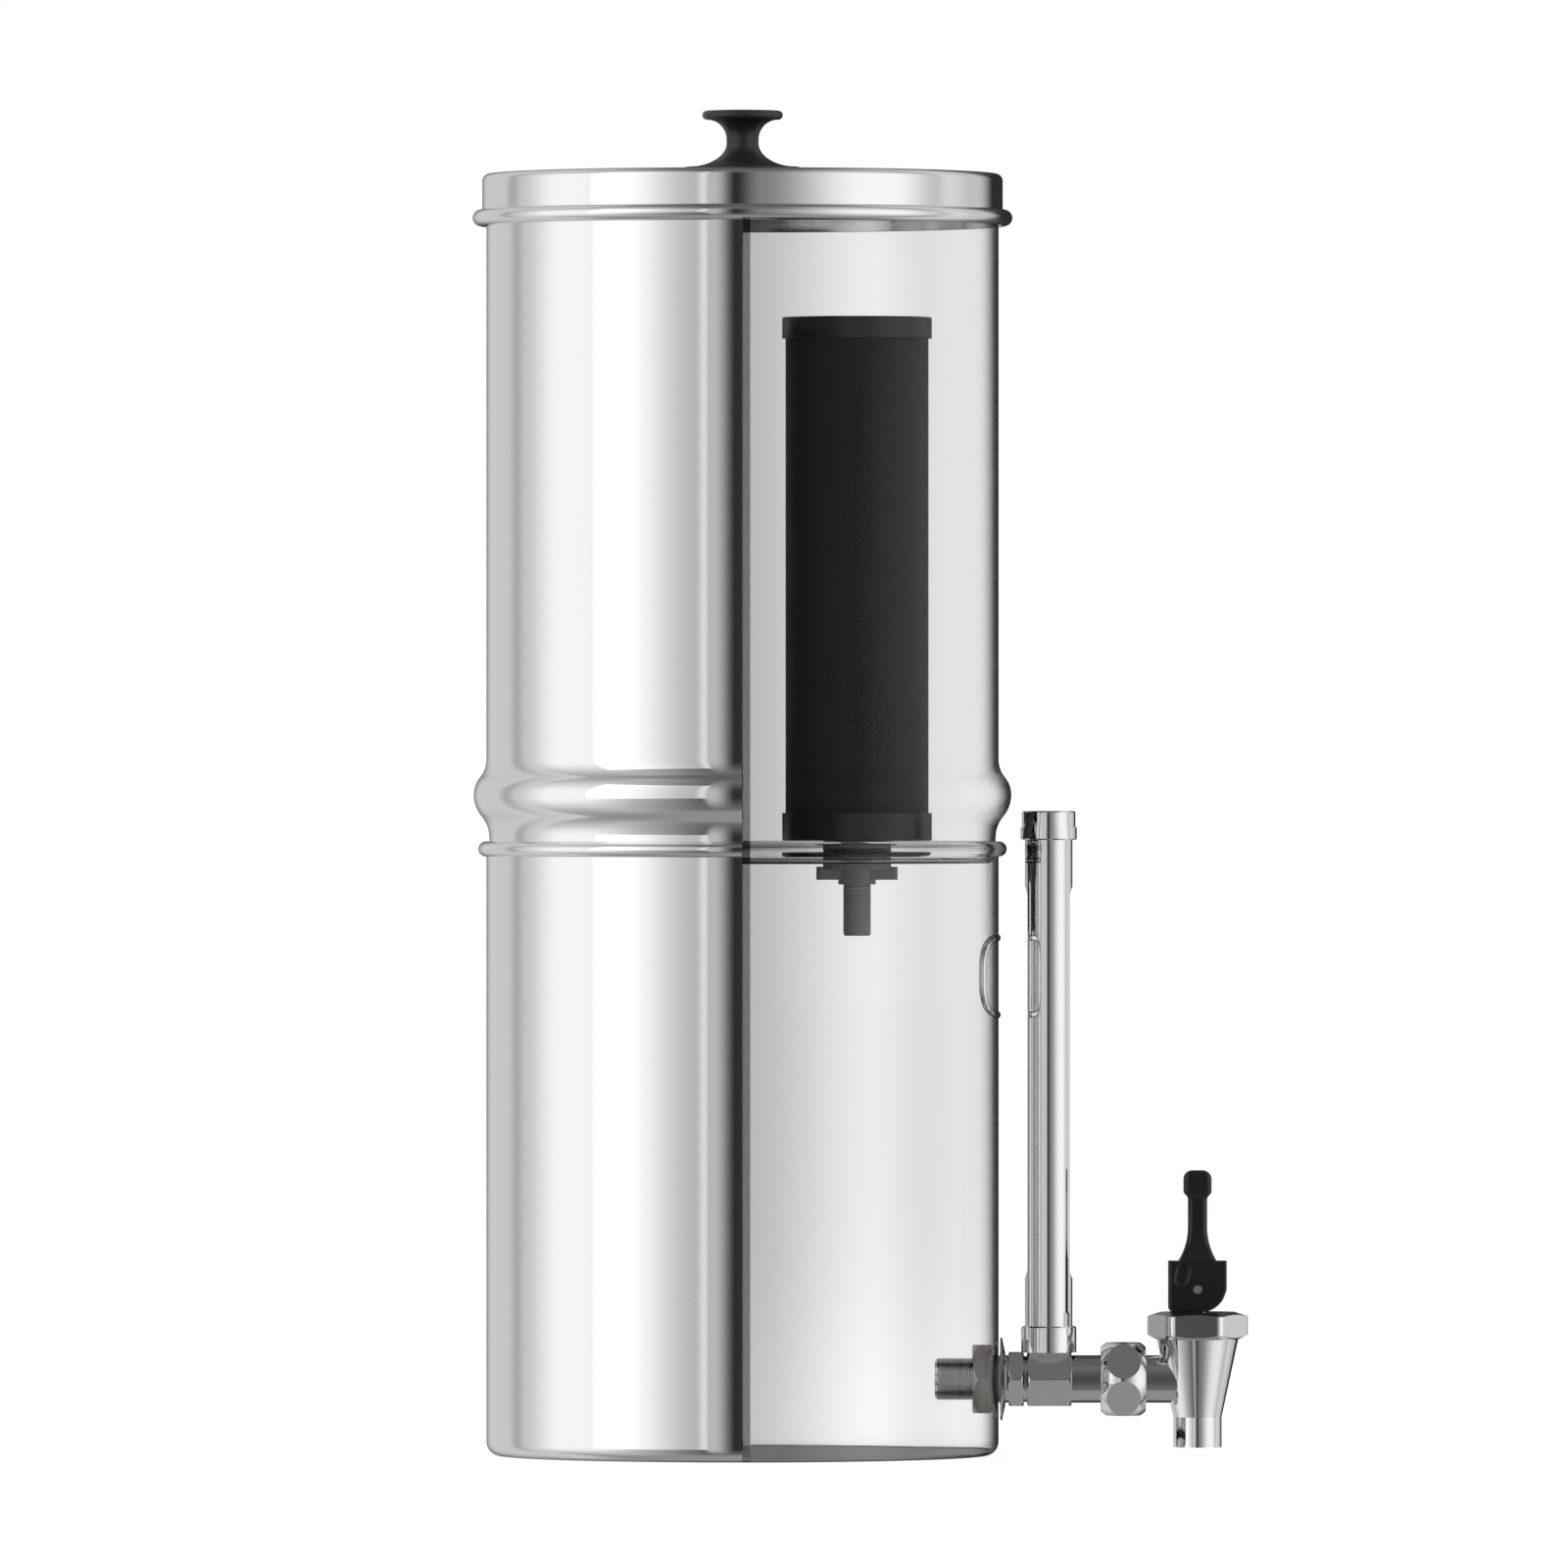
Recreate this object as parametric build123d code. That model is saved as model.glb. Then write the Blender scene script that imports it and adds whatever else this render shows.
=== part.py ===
from build123d import *

import os
from math import cos, radians, sin, sqrt

# A gravity water filter: two stacked steel chambers, two filter elements screwed through the
# upper chamber's floor, and a lever tap with a sight gauge on the lower chamber.
# Millimetres. The origin is the centre of the base, +Z is up and +X points at the tap.

# ---- Driving dimensions ----

# Chambers
chamber_r = 111.2        # outer radius of both chambers
sheet = 1.0              # wall of both chambers
base_corner = 6.0        # rounded edge between base and wall
rim_height = 263.2       # middle of the lower chamber's rolled rim
rim_bead = 3.3           # radius of the rolled rim
rim_overhang = 3.5       # how far the rolled rim stands out from the wall
oval_z = 207.9           # blank raised oval on the front of the lower chamber
oval_half_width = 41.0
oval_half_height = 17.6
oval_bead = 2.6          # width of its bead
oval_proud = 0.9
oval_edge = 0.6          # softened edges of its bead
nest_gap = 0.3           # between the upper chamber's foot and the lower chamber's mouth
nest_depth = 6.2         # from the middle of the rolled rim down to the upper chamber's base
foot_height = 11.0       # straight foot of the upper chamber
foot_taper = 0.5         # how much narrower the foot is at its base
foot_corner = 3.0        # rounded edge of the foot
swell_out = 6.8          # how far the swelled ring stands out from the foot
swell_rise = 18.7        # foot to the crest of the ring
swell_fall = 15.3        # crest of the ring to the straight wall
upper_height = 296.7     # base of the upper chamber to the middle of its hem
hem_bead = 1.4           # radius of the upper chamber's hemmed edge

# Lid and knob
lid_sheet = 0.8
lid_play = 1.0           # between the lid's band and the upper chamber's wall
lid_gap = 0.3            # between the lid and the chamber's hem
lid_corner = 3.0
lid_bead = 3.5           # radius of the lid's rolled lower edge
lid_bead_out = 4.2       # how far that edge stands out from the band
lid_skirt = 19.1         # top of the lid to the middle of the rolled edge
knob_base_r = 25.5
knob_foot = 3.1          # thickness of the knob's rim
knob_foot_edge = 1.0     # rounded upper edge of the rim
knob_flare = 10.2        # height of the flare from the rim to the neck
knob_neck_r = 7.0
knob_undercut = 8.6      # radius of the flare below the top
knob_disc_r = 17.5
knob_disc = 3.9          # thickness of the knob's top at its edge
knob_crown = 0.3         # how far the middle of the top stands above its edge
knob_height = 27.8
knob_screw_r = 2.4
knob_screw_grip = 10.0   # how far the screw reaches into the knob
knob_washer_r = 7.5
knob_washer = 1.0
screw_head_r = 4.6
screw_head = 2.6
screw_head_chamfer = 0.8

# Filter elements
element_offset = 49.7    # from the chamber's axis to each element's axis
block_r = 31.05          # outer radius of the carbon block
block_bore_r = 8.0
block_end = 18.0         # solid carbon above the bore
element_cap_r = 32.5     # outer radius of both end caps
element_height = 227.2   # from under the base cap to the top
cap_floor = 4.0          # thickness of each end cap's plate
top_cap = 9.2            # overall height of the top cap
base_cap = 11.4          # overall height of the base cap
cap_edge = 0.8           # softened outer edges of the caps
boss_r = 14.8            # boss under the base cap, and both washers
boss = 5.3
seal_washer = 3.5        # above the chamber's floor
lower_washer = 2.8       # below the chamber's floor
stem_r = 5.85
stem_bore_r = 3.0
stem_below = 31.5        # stem below the chamber's base
stem_chamfer = 0.6
thread_gap = 0.05        # between each stem and its nut
hole_gap = 0.35          # between each stem and the hole in the floor
wing_nut = 6.4           # overall height of the wing nut
wing_hub_r = 8.15
wing_span = 35.3
wing_width = 8.5
wing_height = 4.4
wing_tip = 1.3           # how far the tips rise beside the washer
wing_recess = 0.4        # gap between the tips and the washer
wing_corner = 2.5

# Spigot with the gauge's manifold, along +X
spigot_z = 33.1
shank_r = 8.9
shank_bore_r = 5.0
shank_inside = 27.7      # how far the shank reaches in from the chamber's outer wall
shank_chamfer = 1.0
wall_hole_gap = 0.3
inner_nut_flats = 29.3
inner_nut = 8.4
inner_nut_bevel = 2.0
inner_washer_r = 10.4
inner_washer = 1.9       # at its middle, where the wall is farthest out
outer_washer_r = 10.2
outer_washer = 0.7
washer_wall_gap = 0.1
escutcheon_r = 17.95
escutcheon_rim = 0.8     # thickness of the escutcheon's edge
escutcheon = 2.4         # thickness at its middle
shoulder_r = 10.35
shoulder = 1.2
small_hex = 6.6
groove_r = 10.0
groove = 1.4
hex_flats = 23.2         # both hexes on the manifold
hex_edge = 0.4           # softened edges between the flats of every hexagon
main_hex = 19.3
hex_bevel = 1.2
barrel_reach = 21.7      # barrel from the main hex into the coupling nut
coupling_show = 12.7     # barrel left bare before the coupling nut
coupling_flats = 31.7
coupling = 19.5
coupling_end_r = 14.0    # radius of its end faces
coupling_crown_r = 18.0  # radius that its rounded corners reach half way along
coupling_seal = 2.0
seal_bore_gap = 0.2

# Sight gauge
gauge_from_hex = 9.4     # gauge axis from the main hex's near face
gauge_port_r = 4.0
socket_r = 9.0           # threaded socket on the main hex, inside the lower collar
socket = 5.3
lower_collar_r = 12.05
lower_collar = 11.4
collar_web = 1.8         # web in each collar that the guard tube stands on
guard_r = 10.35
guard_wall = 1.3
guard_above_collar = 211.0
slot_width = 9.7
slot_foot = 20.7         # lower collar's top to the slot's lower end
slot_length = 170.2
glass_r = 8.0
glass_wall = 1.6
glass_gap = 0.3
gauge_seal = 1.5
upper_collar_r = 12.25
upper_collar = 5.5
upper_collar_grip = 3.5  # how much of the guard tube the upper collar holds
gauge_cap_r = 11.65
gauge_cap = 7.1
vent_r = 1.2
gauge_chamfer = 0.6

# Tap
tap_tail = 31.0          # end of the tap's tail to the tap's upright axis
nozzle_r = 10.5
nozzle_low = 3.5
nozzle_high = 16.6
nozzle_bore_r = 7.6
nozzle_bore_top = 18.0
throat_r = 5.2
seat_z = 26.2
seat_lip = 0.8
seat_lip_width = 1.2
body_top = 50.3
body_top_r = 17.7
cavity_r = 10.2
neck_r = 13.4
neck = 5.0
bonnet_flats = 39.0
bonnet_turn = -3.0       # degrees the bonnet's flats are turned from square
bonnet_edge = 4.0        # rounded edges between its flats
bonnet = 11.9
bonnet_bevel = 2.0
bonnet_top_r = 16.4
bonnet_under = 2.4
roof_gap = 0.2           # between the body's neck and the bonnet's roof
gland_gap = 0.1
gland_seal_r = 5.2
gland_seal = 1.6
gland_seal_rise = 1.2    # above the roof's underside

# Stem, seat cup and spring
tap_stem_r = 3.5
tongue = 5.0             # thickness of the flattened head
plug_r = 3.0
plug = 4.6               # how far the plug reaches into the seat cup
cup_r = 7.7
cup = 6.6
cup_gap = 0.3            # cup above the seat at rest
cup_chamfer = 0.8
tongue_clear = 0.4       # flats reach this far below the tipped lever
stem_collar_r = 7.4
stem_collar = 2.0
spring_r = 5.6           # mean radius of the return spring
spring_wire = 0.45       # wire radius
spring_turns = 6
spring_gap = 0.1

# Lever
pin_height = 9.9         # pin axis above the bonnet
pin_r = 1.75
pin_gap = 0.05
cam_gap = 0.12           # between the lever's foot and the bonnet
lever_left = 12.7        # pin axis to the lever's back
lever_right = 12.6       # pin axis to the lever's front flat
lever_top = 12.3         # pin axis to the top of the lever's block
lever_width = 16.0
lever_corner = 2.0
cheek_gap = 0.2          # between the stem's head and each cheek
slot_clear = 0.5         # between the stem's head and the slot's web
handle_neck_r = 4.2
handle_neck_low = 26.9   # pin axis to the straight part of the neck
handle_root = 8.3        # half width of the neck where it meets the block
handle_bulb_low = 39.7
handle_bulb_r = 6.1
handle_bulb_taper = 2.2
handle_top = 51.6
handle_bulb_corner = 3.8
handle_neck_thick = 3.6  # half thickness of the neck
handle_bulb_thick = 4.8  # half thickness of the bulb
handle_edge = 1.8
block_edge = 0.8
handle_seam = 0.5        # rounding of the handle starts this far above the block
lobe_steps = 6           # points that the foot's lobe passes through
pocket_depth = 1.0
pocket_width = 5.6
pocket_length = 9.0
pocket_tilt = 16.0       # degrees
pocket_side = 6.6        # pin axis to the pocket, towards the back
pocket_up = 6.4          # pin axis to the pocket, upwards
max_tilt = 90.0          # degrees the lever tips

past = 1.0               # how far each cutter runs past the faces it cuts

# ---- Worked-out places ----

inner_r = chamber_r - sheet
upper_base = rim_height - nest_depth
upper_floor = upper_base + sheet
foot_r = inner_r - nest_gap
hem_z = upper_base + upper_height
hem_r = chamber_r - hem_bead
lid_top = hem_z + hem_bead + lid_gap + lid_sheet
lid_inner_r = chamber_r + lid_play
lid_r = lid_inner_r + lid_sheet
element_base = upper_floor + seal_washer + boss
element_top = element_base + element_height
washer_base = upper_base - lower_washer

outer_washer_end = chamber_r + outer_washer
shoulder_x = outer_washer_end + escutcheon
small_hex_x = shoulder_x + shoulder
groove_x = small_hex_x + small_hex
main_hex_x = groove_x + groove
barrel_x = main_hex_x + main_hex
barrel_end = barrel_x + barrel_reach
coupling_x = barrel_x + coupling_show
tail_x = barrel_end + coupling_seal
tap_x = tail_x + tap_tail
inner_washer_x = inner_r - inner_washer
inner_nut_x = inner_washer_x - inner_nut

gauge_x = main_hex_x + gauge_from_hex
collar_z = spigot_z + hex_flats / 2
socket_top = collar_z + socket
collar_top = collar_z + lower_collar
glass_low = socket_top + gauge_seal
web_z = socket_top
guard_low = web_z + collar_web
guard_top = collar_top + guard_above_collar
upper_collar_z = guard_top
guard_high = upper_collar_z + upper_collar_grip
upper_collar_top = upper_collar_z + upper_collar
glass_high = upper_collar_top - gauge_seal

bonnet_z = body_top
bonnet_top = bonnet_z + bonnet
roof_z = body_top + neck + roof_gap
pin_z = bonnet_top + pin_height
cam_rest = pin_height - cam_gap
cam_growth = (lever_right - cam_rest) / radians(max_tilt)
stem_lift = cam_growth * radians(max_tilt)
tongue_foot = pin_z - lever_right - tongue_clear
cup_low = seat_z + seat_lip + cup_gap
collar_low = cup_low + cup
collar_high = collar_low + stem_collar


# ---- Helpers ----

def turned(*outline):
    """Turn a closed outline of (radius, height) points about Z."""
    return revolve(Plane.XZ * make_face(Polyline(*outline, close=True)), Axis.Z)


def tube(outer, inner, low, high):
    return turned((inner, low), (outer, low), (outer, high), (inner, high))


def rod(radius, low, high, chamfer=0.0):
    """A bar about Z, with both ends chamfered."""
    if not chamfer:
        return turned((0, low), (radius, low), (radius, high), (0, high))
    return turned(
        (0, low), (radius - chamfer, low), (radius, low + chamfer),
        (radius, high - chamfer), (radius - chamfer, high), (0, high),
    )


def hex_blank(flats, length, turn=0.0, edge=hex_edge):
    """A hexagonal bar about Z with rounded edges between its flats, two of which face X."""
    blank = extrude(RegularPolygon(flats / 2, 6, major_radius=False, rotation=30 + turn), length)
    return fillet(blank.edges().filter_by(Axis.Z), edge)


def hex_bar(
    flats, low, high, bevel_low, bevel_high, face_low=None, face_high=None, turn=0.0, edge=hex_edge
):
    """A hexagonal bar about Z with turned bevels; face_low and face_high are the end faces' radii."""
    corner = flats / sqrt(3)
    face_low = face_low or flats / 2
    face_high = face_high or flats / 2
    envelope = turned(
        (0, low), (face_low, low), (corner, low + bevel_low),
        (corner, high - bevel_high), (face_high, high), (0, high),
    )
    return Pos(0, 0, low) * hex_blank(flats, high - low, turn, edge) & envelope


def along_spigot(shape):
    """Lay a shape made about Z along the spigot's axis, with its height as the distance in X."""
    return Pos(0, 0, spigot_z) * Rot(0, 90, 0) * shape


def sheet_metal(path, thickness, side):
    """Closed outline of a sheet whose outer face follows the path."""
    return make_face(path.wire().offset_2d(thickness, side=side))


def s_curve(start, end):
    """Two equal arcs that leave and arrive upright."""
    middle = ((start[0] + end[0]) / 2, (start[1] + end[1]) / 2)
    first = TangentArc(start, middle, tangent=(0, 1))
    second = TangentArc(first @ 1, end, tangent=first % 1)
    return first, second


def rolled_edge(centre_r, centre_z, radius, inside):
    """Section of a rolled edge, cut flush with the wall's inner face."""
    curl = Pos(centre_r, centre_z) * Circle(radius)
    keep = Pos(inside + 2 * radius, centre_z) * Rectangle(4 * radius, 4 * radius)
    return curl & keep


# ---- Chambers, lid and knob ----

def lower_chamber():
    with BuildLine() as path:
        floor = Line((0, 0), (chamber_r - base_corner, 0))
        corner = TangentArc(floor @ 1, (chamber_r, base_corner), tangent=floor % 1)
        Line(corner @ 1, (chamber_r, rim_height))
    rim = rolled_edge(chamber_r + rim_overhang - rim_bead, rim_height, rim_bead, inner_r)
    section = sheet_metal(path, sheet, Side.LEFT) + rim
    hole = along_spigot(rod(shank_r + wall_hole_gap, inner_r - past, chamber_r + past))
    return revolve(Plane.XZ * section, Axis.Z) + oval_bead_ring() - hole


def oval_bead_ring():
    """Raised oval bead that follows the curve of the wall."""
    ring = Ellipse(oval_half_width, oval_half_height) - Ellipse(
        oval_half_width - oval_bead, oval_half_height - oval_bead
    )
    pressed = extrude(Plane.YZ * ring, chamber_r + 2 * oval_proud)
    low = oval_z - 2 * oval_half_height
    band = tube(chamber_r + oval_proud, chamber_r - sheet / 2, low, oval_z + 2 * oval_half_height)
    bead = Pos(0, 0, oval_z) * pressed & band
    crown = bead.faces().sort_by(lambda face: face.center().X)[-1]
    return fillet(crown.edges(), oval_edge)


def upper_chamber():
    foot_top = (foot_r, upper_base + foot_height)
    crest = (foot_r + swell_out, foot_top[1] + swell_rise)
    with BuildLine() as path:
        floor = Line((0, upper_base), (foot_r - foot_taper - foot_corner, upper_base))
        corner = TangentArc(
            floor @ 1, (foot_r - foot_taper, upper_base + foot_corner), tangent=floor % 1
        )
        Line(corner @ 1, foot_top)
        s_curve(foot_top, crest)
        s_curve(crest, (chamber_r, crest[1] + swell_fall))
        Line((chamber_r, crest[1] + swell_fall), (chamber_r, hem_z))
    hem = Pos(hem_r, hem_z) * Circle(hem_bead)
    section = sheet_metal(path, sheet, Side.LEFT) + hem
    chamber = revolve(Plane.XZ * section, Axis.Z)
    hole = rod(stem_r + hole_gap, upper_base - sheet, upper_floor + sheet)
    for side in (-1, 1):
        chamber -= Pos(side * element_offset) * hole
    return chamber


def lid():
    edge_z = lid_top - lid_skirt
    with BuildLine() as path:
        top = Line((0, lid_top), (lid_r - lid_corner, lid_top))
        corner = TangentArc(top @ 1, (lid_r, lid_top - lid_corner), tangent=top % 1)
        Line(corner @ 1, (lid_r, edge_z))
    edge = rolled_edge(lid_r + lid_bead_out - lid_bead, edge_z, lid_bead, lid_inner_r)
    section = sheet_metal(path, lid_sheet, Side.RIGHT) + edge
    hole = rod(knob_screw_r + thread_gap, lid_top - 2 * lid_sheet, lid_top + lid_sheet)
    return revolve(Plane.XZ * section, Axis.Z) - hole


def lid_knob():
    base = lid_top
    top = base + knob_height
    disc_top = top - knob_crown
    disc_under = disc_top - knob_disc
    disc_edge = knob_disc_r - knob_disc / 2
    rim_top = base + knob_foot
    rim_edge = knob_base_r - knob_foot_edge
    neck_low = rim_top + knob_flare
    neck_high = (knob_neck_r, disc_under - knob_undercut)
    with BuildLine() as outline:
        Polyline((0, base), (knob_base_r, base), (knob_base_r, rim_top - knob_foot_edge))
        TangentArc((knob_base_r, rim_top - knob_foot_edge), (rim_edge, rim_top), tangent=(0, 1))
        flare = EllipticalCenterArc(
            (rim_edge, neck_low), rim_edge - knob_neck_r, knob_flare, start_angle=180, arc_size=90
        )
        Line(flare @ 0, neck_high)
        under = TangentArc(neck_high, (disc_edge, disc_under), tangent=(0, 1))
        edge = ThreePointArc(under @ 1, (knob_disc_r, disc_top - knob_disc / 2), (disc_edge, disc_top))
        TangentArc((0, top), edge @ 1, tangent=(1, 0))
        Polyline((0, top), (0, base))
    knob = revolve(Plane.XZ * make_face(outline.line), Axis.Z)
    return knob - rod(knob_screw_r + thread_gap, base - past, base + knob_screw_grip + past)


def knob_screw():
    head_top = lid_top - lid_sheet - knob_washer
    head = rod(screw_head_r, head_top - screw_head, head_top)
    head = chamfer(head.faces().sort_by(Axis.Z)[0].edges(), screw_head_chamfer)
    return head + rod(knob_screw_r, head_top, lid_top + knob_screw_grip)


def knob_washer_ring():
    under = lid_top - lid_sheet
    return tube(knob_washer_r, knob_screw_r + thread_gap, under - knob_washer, under)


# ---- Filter elements, made about their own axis ----

def carbon_block():
    low = element_base + cap_floor
    high = element_top - cap_floor
    return rod(block_r, low, high) - rod(block_bore_r, low, high - block_end)


def element_top_cap():
    low = element_top - top_cap
    cap = rod(element_cap_r, low, element_top)
    cap = fillet(cap.faces().sort_by(Axis.Z)[-1].edges(), cap_edge)
    return cap - rod(block_r, low - past, element_top - cap_floor)


def element_base_cap():
    cap = rod(element_cap_r, element_base, element_base + base_cap)
    cap = fillet(cap.faces().sort_by(Axis.Z)[0].edges(), cap_edge)
    cap += rod(boss_r, element_base - boss, element_base)
    cap -= rod(block_r, element_base + cap_floor, element_base + base_cap + past)
    return cap - rod(stem_r, element_base - boss - past, element_base + cap_floor + past)


def element_stem():
    low = upper_base - stem_below
    high = element_base + cap_floor
    return rod(stem_r, low, high, stem_chamfer) - rod(stem_bore_r, low - past, high + past)


def element_seal_washer():
    return tube(boss_r, stem_r + thread_gap, upper_floor, upper_floor + seal_washer)


def element_lower_washer():
    return tube(boss_r, stem_r + thread_gap, washer_base, upper_base)


def element_wing_nut():
    """A hub with two flat wings whose tips turn up beside the washer."""
    wing_low = washer_base - wing_height
    wings = Pos(0, 0, wing_low) * extrude(
        RectangleRounded(wing_span, wing_width, wing_corner), wing_height + wing_tip
    )
    wings -= rod(boss_r + wing_recess, washer_base, washer_base + wing_tip + past)
    low = washer_base - wing_nut
    hub = rod(wing_hub_r, low, washer_base)
    return wings + hub - rod(stem_r + thread_gap, low - past, washer_base + past)


# ---- Spigot and manifold ----

def gauge_manifold():
    """Threaded shank, two hexes and barrel in one, with a port and socket for the gauge."""
    turning = turned(
        (0, chamber_r - shank_inside), (shank_r - shank_chamfer, chamber_r - shank_inside),
        (shank_r, chamber_r - shank_inside + shank_chamfer), (shank_r, shoulder_x),
        (shoulder_r, shoulder_x), (shoulder_r, small_hex_x),
        (groove_r, small_hex_x), (groove_r, main_hex_x),
        (shoulder_r, barrel_x), (shoulder_r, barrel_end), (0, barrel_end),
    )
    small = hex_bar(hex_flats, small_hex_x, groove_x, hex_bevel, hex_bevel)
    main = hex_bar(hex_flats, main_hex_x, barrel_x, hex_bevel, hex_bevel)
    manifold = along_spigot(turning + small + main)
    manifold += Pos(gauge_x) * rod(socket_r, collar_z, socket_top)
    manifold -= along_spigot(rod(shank_bore_r, chamber_r - shank_inside - past, barrel_end + past))
    return manifold - Pos(gauge_x) * rod(gauge_port_r, spigot_z, socket_top + past)


def shank_nut():
    nut = hex_bar(
        inner_nut_flats, inner_nut_x, inner_washer_x, inner_nut_bevel, inner_nut_bevel
    )
    bore = rod(shank_r + thread_gap, inner_nut_x - past, inner_washer_x + past)
    return along_spigot(nut - bore)


def inner_wall_washer():
    """Rubber washer pressed to the curve of the chamber's inner face."""
    flat = along_spigot(tube(inner_washer_r, shank_r + thread_gap, inner_washer_x, chamber_r))
    return flat & rod(inner_r - washer_wall_gap, 0, rim_height)


def outer_wall_washer():
    """Rubber washer pressed to the curve of the chamber's outer face."""
    flat = tube(outer_washer_r, shank_r + thread_gap, inner_r - sheet, outer_washer_end)
    return along_spigot(flat) - rod(chamber_r + washer_wall_gap, 0, rim_height)


def escutcheon_plate():
    bore = shank_r + thread_gap
    plate = turned(
        (bore, outer_washer_end), (escutcheon_r, outer_washer_end),
        (escutcheon_r, outer_washer_end + escutcheon_rim), (shoulder_r, shoulder_x),
        (bore, shoulder_x),
    )
    return along_spigot(plate)


def coupling_nut():
    """Barrel-shaped hexagonal coupling, threaded on the manifold's barrel and on the tap's tail."""
    end = coupling_x + coupling
    with BuildLine() as outline:
        Polyline((coupling_end_r, end), (0, end), (0, coupling_x), (coupling_end_r, coupling_x))
        ThreePointArc(
            (coupling_end_r, coupling_x), (coupling_crown_r, (coupling_x + end) / 2),
            (coupling_end_r, end),
        )
    envelope = revolve(Plane.XZ * make_face(outline.line), Axis.Z)
    nut = Pos(0, 0, coupling_x) * hex_blank(coupling_flats, coupling) & envelope
    return along_spigot(nut - rod(shoulder_r + thread_gap, coupling_x - past, end + past))


def coupling_washer():
    return along_spigot(tube(shoulder_r - seal_bore_gap, shank_bore_r, barrel_end, tail_x))


# ---- Sight gauge, made about its own axis ----

def gauge_lower_collar():
    collar = rod(lower_collar_r, collar_z, collar_top)
    collar = chamfer(collar.faces().sort_by(Axis.Z)[-1].edges(), gauge_chamfer)
    collar -= rod(socket_r + thread_gap, collar_z - past, web_z)
    collar -= rod(glass_r + glass_gap, web_z - past, guard_low + past)
    return collar - rod(guard_r + thread_gap, guard_low, collar_top + past)


def gauge_guard():
    """Chrome tube with a tall viewing slot on the tap's side and one on the chamber's side."""
    guard = tube(guard_r, guard_r - guard_wall, guard_low, guard_high)
    middle = collar_top + slot_foot + slot_length / 2
    slot = extrude(SlotOverall(slot_length, slot_width, rotation=90), guard_r + past, both=True)
    return guard - Pos(0, 0, middle) * Rot(0, 0, 90) * Rot(90, 0, 0) * slot


def gauge_glass():
    return tube(glass_r, glass_r - glass_wall, glass_low, glass_high)


def gauge_lower_seal():
    return tube(glass_r, gauge_port_r, socket_top, glass_low)


def gauge_upper_seal():
    return tube(glass_r, glass_r - 2 * glass_wall, glass_high, upper_collar_top)


def gauge_upper_collar():
    collar = rod(upper_collar_r, upper_collar_z, upper_collar_top)
    collar = chamfer(collar.faces().sort_by(Axis.Z)[0].edges(), gauge_chamfer)
    collar -= rod(guard_r + thread_gap, upper_collar_z - past, guard_high)
    return collar - rod(glass_r + glass_gap, guard_high - past, upper_collar_top + past)


def gauge_top_cap():
    top = upper_collar_top + gauge_cap
    cap = rod(gauge_cap_r, upper_collar_top, top)
    cap = chamfer(cap.faces().sort_by(Axis.Z)[-1].edges(), gauge_chamfer)
    return cap - rod(vent_r, upper_collar_top - past, top + past)


# ---- Tap, made about its own upright axis ----

def tap_body():
    """Tapered body with a tail towards the chamber, a seat, a throat and a straight nozzle."""
    tail = along_spigot(rod(shoulder_r, tail_x, tap_x))
    shell = turned(
        (0, nozzle_low), (nozzle_r, nozzle_low), (nozzle_r, nozzle_high),
        (body_top_r, body_top), (neck_r, body_top), (neck_r, body_top + neck),
        (0, body_top + neck),
    )
    throat = rod(throat_r, nozzle_low, body_top)
    body = tail + Pos(tap_x) * shell
    body -= Pos(tap_x) * rod(nozzle_bore_r, nozzle_low - past, nozzle_bore_top)
    body -= Pos(tap_x) * rod(cavity_r, seat_z, body_top + neck + past)
    body += Pos(tap_x) * rod(throat_r + seat_lip_width, seat_z - past, seat_z + seat_lip)
    body -= Pos(tap_x) * throat
    return body - along_spigot(rod(shank_bore_r, tail_x - past, tap_x))


def bonnet_cap():
    hexagon = hex_bar(
        bonnet_flats, bonnet_z, bonnet_top, bonnet_under, bonnet_bevel,
        body_top_r, bonnet_top_r, 30 + bonnet_turn, bonnet_edge,
    )
    cap = hexagon - rod(neck_r + thread_gap, bonnet_z - past, roof_z)
    seal_low = roof_z + gland_seal_rise
    cap -= rod(gland_seal_r + thread_gap, seal_low, seal_low + gland_seal)
    return cap - rod(tap_stem_r + gland_gap, bonnet_z - past, bonnet_top + past)


def gland_ring():
    low = roof_z + gland_seal_rise
    return tube(gland_seal_r, tap_stem_r + gland_gap, low, low + gland_seal)


def tap_stem():
    """Stem with a plug in the seat cup, a collar under the spring and a flat head for the pin."""
    stem = rod(plug_r, collar_low - plug, collar_low)
    stem += rod(stem_collar_r, collar_low, collar_high)
    stem += rod(tap_stem_r, collar_high, pin_z)
    stem += Pos(0, 0, pin_z) * Rot(90, 0, 0) * Cylinder(tap_stem_r, tongue)
    flat = Box(
        4 * tap_stem_r, 4 * tap_stem_r, 4 * lever_right,
        align=(Align.CENTER, Align.MIN, Align.MIN),
    )
    stem -= Pos(0, tongue / 2, tongue_foot) * flat
    stem -= Pos(0, -tongue / 2, tongue_foot) * Rot(0, 0, 180) * flat
    return stem - Pos(0, 0, pin_z) * Rot(90, 0, 0) * Cylinder(pin_r + pin_gap, 2 * lever_width)


def seat_cup():
    disc = rod(cup_r, cup_low, collar_low, cup_chamfer)
    return disc - rod(plug_r, collar_low - plug, collar_low + past)


def return_spring():
    low = collar_high + spring_wire + spring_gap
    height = roof_z - spring_wire - spring_gap - low
    coil = Helix(height / spring_turns, height, spring_r)
    wire = Plane(coil @ 0, z_dir=coil % 0) * Circle(spring_wire)
    return Pos(0, 0, low) * sweep(wire, path=coil)


# ---- Lever, made about the pin: local X towards the front, local Y up ----

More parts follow.
